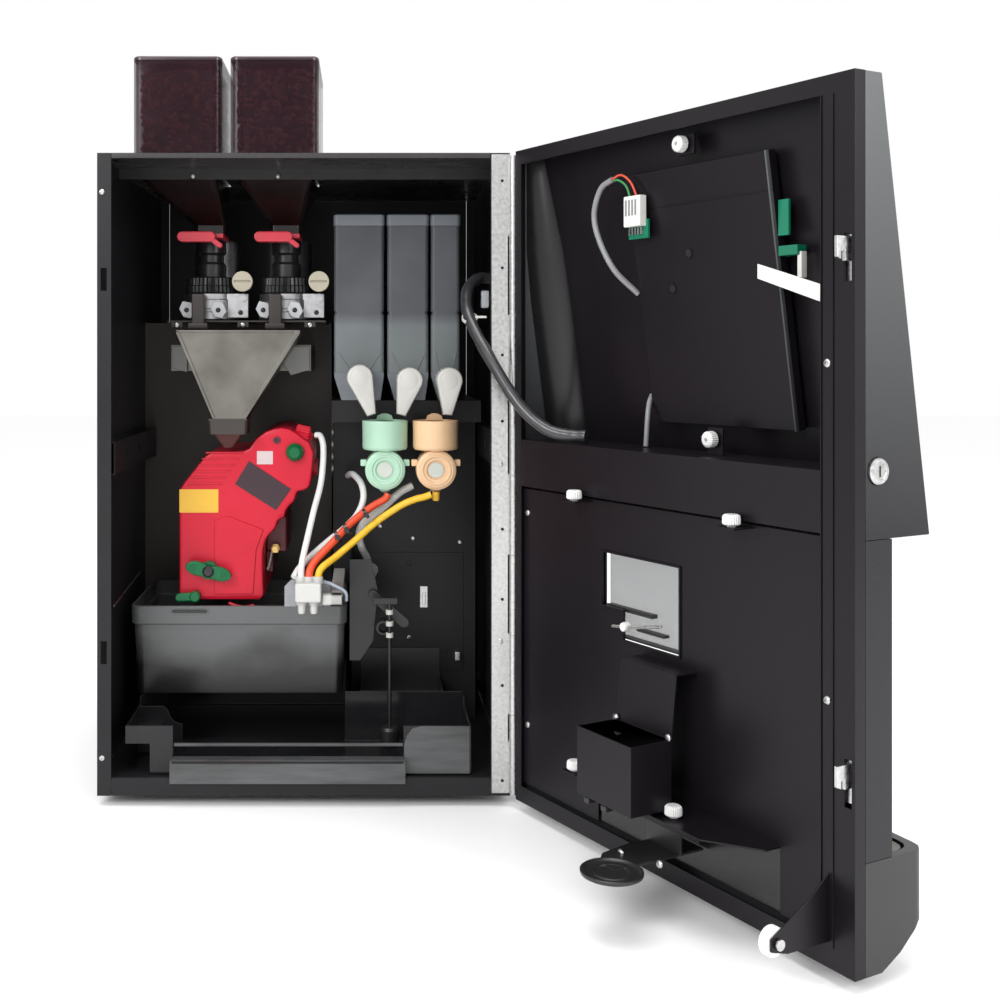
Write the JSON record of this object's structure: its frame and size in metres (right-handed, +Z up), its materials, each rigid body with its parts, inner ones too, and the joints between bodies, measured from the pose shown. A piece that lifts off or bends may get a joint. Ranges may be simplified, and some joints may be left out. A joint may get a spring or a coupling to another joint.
{
  "type": "table-top coffee vending machine",
  "caption": "Table-top bean-to-cup coffee machine with its door open on a red brewer, grinders, powder canisters, mixers, grounds bin and waste tray.",
  "frame": {"origin": "middle of the base of the whole machine's box, with the door open", "axes": "+Z up, the cabinet's front faces -Y, the hinge is on the +X side"},
  "size_m": [0.7764, 0.8854, 0.883],
  "materials": {
    "black_steel": "black powder coat, fine satin texture",
    "black_plastic": "moulded black plastic, satin",
    "gloss_black": "gloss black plastic or glass",
    "steel": "brushed stainless sheet",
    "zinc": "bright zinc-plated steel",
    "aluminium": "cast aluminium",
    "red_plastic": "moulded red plastic",
    "green_plastic": "moulded green plastic",
    "beige_plastic": "moulded beige plastic",
    "hopper_tint": "dark tinted clear plastic",
    "canister_clear": "translucent blue-grey plastic",
    "white_plastic": "moulded white plastic",
    "mint_plastic": "moulded mint plastic",
    "peach_plastic": "moulded peach plastic",
    "red_hose": "red silicone hose",
    "yellow_hose": "yellow silicone hose",
    "white_hose": "milky silicone hose",
    "cable_black": "ribbed black conduit"
  },
  "bodies": {
    "cabinet": {"left_side_panel": "black_steel", "right_side_panel": "black_steel", "base_plate": "black_steel", "top_panel": "black_steel", "rear_panel": "black_steel", "brewer_plate": "black_steel", "mixer_panel": "black_steel", "foot_front_left": "black_plastic", "foot_front_right": "black_plastic", "foot_rear_left": "black_plastic", "foot_rear_right": "black_plastic", "cabinet_hinge_leaf": "zinc", "hopper_left": "hopper_tint", "hopper_right": "hopper_tint", "grinder_left": "aluminium", "grinder_right": "aluminium", "coffee_funnel": "steel", "canister_left": "canister_clear", "canister_middle": "canister_clear", "canister_right": "canister_clear", "mixer_left": "mint_plastic", "mixer_right": "peach_plastic", "outlet_block": "white_plastic", "red_hose": "red_hose", "yellow_hose": "yellow_hose", "brewer_hose": "white_hose", "door_cable": "cable_black"},
    "hopper_lid_left": {"hopper_lid_left": "hopper_tint"},
    "hopper_lid_right": {"hopper_lid_right": "hopper_tint"},
    "shutoff_slide_left": {"shutoff_slide_left": "red_plastic"},
    "shutoff_slide_right": {"shutoff_slide_right": "red_plastic"},
    "grinder_ring_left": {"grinder_ring_left": "black_plastic"},
    "grinder_ring_right": {"grinder_ring_right": "black_plastic"},
    "grinder_knob_left": {"grinder_knob_left": "beige_plastic"},
    "grinder_knob_right": {"grinder_knob_right": "beige_plastic"},
    "brewer": {"brewer": "red_plastic"},
    "brewer_wing_knob": {"brewer_wing_knob": "green_plastic"},
    "brewer_release_lever": {"brewer_release_lever": "green_plastic"},
    "spout_left": {"spout_left": "white_plastic"},
    "spout_middle": {"spout_middle": "white_plastic"},
    "spout_right": {"spout_right": "white_plastic"},
    "waste_tray": {"waste_tray": "gloss_black"},
    "grounds_bin": {"grounds_bin": "black_plastic"},
    "float_rod": {"float_rod": "black_plastic"},
    "door": {"door_hinge_leaf": "zinc", "door_frame": "black_steel", "upper_cover": "black_steel", "touch_panel": "gloss_black", "lower_cover": "black_steel", "niche_back": "black_plastic", "inner_panel": "black_steel", "cross_channel": "black_steel", "control_cover": "black_steel", "outlet_guide": "black_steel", "drain_spout": "black_plastic", "drip_base": "black_plastic"},
    "drip_grille": {"drip_grille": "steel"},
    "roller": {"roller": "white_plastic"},
    "lock_cylinder": {"lock_cylinder": "zinc"},
    "latch_bar": {"latch_bar": "zinc"}
  },
  "joints": [
    {"name": "door_hinge", "type": "hinge", "parent": "cabinet", "child": "door", "pos_m": [0.08478, -0.01632, 0.378], "axis": [0, 0, 1], "range_deg": [-118.3, 30], "deforming": ["door_cable"]},
    {"name": "hopper_lid_lift_left", "type": "slide", "parent": "cabinet", "child": "hopper_lid_left", "axis": [0, 0, 1], "range_m": [0, 0.05]},
    {"name": "hopper_lid_lift_right", "type": "slide", "parent": "cabinet", "child": "hopper_lid_right", "axis": [0, 0, 1], "range_m": [0, 0.05]},
    {"name": "shutoff_travel_left", "type": "slide", "parent": "cabinet", "child": "shutoff_slide_left", "axis": [0, -1, 0], "range_m": [0, 0.035]},
    {"name": "shutoff_travel_right", "type": "slide", "parent": "cabinet", "child": "shutoff_slide_right", "axis": [0, -1, 0], "range_m": [0, 0.035]},
    {"name": "ring_turn_left", "type": "hinge", "parent": "cabinet", "child": "grinder_ring_left", "pos_m": [-0.28222, 0.18968, 0.602], "axis": [0, 0, 1], "range_deg": [-30, 30]},
    {"name": "knob_turn_left", "type": "hinge", "parent": "cabinet", "child": "grinder_knob_left", "pos_m": [-0.23872, 0.14968, 0.607], "axis": [0, -1, 0], "range_deg": [-180, 180]},
    {"name": "ring_turn_right", "type": "hinge", "parent": "cabinet", "child": "grinder_ring_right", "pos_m": [-0.18522, 0.18968, 0.602], "axis": [0, 0, 1], "range_deg": [-30, 30]},
    {"name": "knob_turn_right", "type": "hinge", "parent": "cabinet", "child": "grinder_knob_right", "pos_m": [-0.14172, 0.14968, 0.607], "axis": [0, -1, 0], "range_deg": [-180, 180]},
    {"name": "brewer_travel", "type": "slide", "parent": "cabinet", "child": "brewer", "axis": [0, -1, 0], "range_m": [0, 0.12], "deforming": ["brewer_hose"]},
    {"name": "wing_knob_turn", "type": "hinge", "parent": "brewer", "child": "brewer_wing_knob", "pos_m": [-0.27582, 0.10168, 0.2479], "axis": [0, 1, 0], "range_deg": [0, 90]},
    {"name": "release_lever_turn", "type": "hinge", "parent": "brewer", "child": "brewer_release_lever", "pos_m": [-0.29322, 0.10568, 0.2155], "axis": [0, 1, 0], "range_deg": [0, 60]},
    {"name": "spout_turn_left", "type": "hinge", "parent": "cabinet", "child": "spout_left", "pos_m": [-0.08942, 0.09468, 0.486], "axis": [0, 1, 0], "range_deg": [0, 75]},
    {"name": "spout_turn_middle", "type": "hinge", "parent": "cabinet", "child": "spout_middle", "pos_m": [-0.02822, 0.09468, 0.4825], "axis": [0, 1, 0], "range_deg": [0, 45]},
    {"name": "spout_turn_right", "type": "hinge", "parent": "cabinet", "child": "spout_right", "pos_m": [0.02058, 0.09468, 0.4825], "axis": [0, -1, 0], "range_deg": [0, 55]},
    {"name": "tray_travel", "type": "slide", "parent": "cabinet", "child": "waste_tray", "axis": [0, -1, 0], "range_m": [0, 0.15]},
    {"name": "bin_travel", "type": "slide", "parent": "waste_tray", "child": "grounds_bin", "axis": [0, -1, 0], "range_m": [0, 0.14]},
    {"name": "float_travel", "type": "slide", "parent": "waste_tray", "child": "float_rod", "axis": [0, 0, 1], "range_m": [0, 0.015]},
    {"name": "grille_lift", "type": "slide", "parent": "door", "child": "drip_grille", "axis": [0, 0, 1], "range_m": [0, 0.04]},
    {"name": "roller_spin", "type": "hinge", "parent": "door", "child": "roller", "pos_m": [0.24238, -0.43346, 0.0455], "axis": [0.4741, -0.8805, 0], "continuous": true},
    {"name": "lock_turn", "type": "hinge", "parent": "door", "child": "lock_cylinder", "pos_m": [0.33192, -0.42046, 0.42], "axis": [0.4741, -0.8805, 0], "range_deg": [0, 90]},
    {"name": "latch_travel", "type": "slide", "parent": "door", "child": "latch_bar", "axis": [0, 0, -1], "range_m": [0, 0.0119]}
  ],
  "couplings": [
    {"joint": "knob_turn_left", "follows": "ring_turn_left", "ratio": 6},
    {"joint": "knob_turn_right", "follows": "ring_turn_right", "ratio": 6},
    {"joint": "lock_turn", "follows": "latch_travel", "rad_per_m": 131}
  ]
}
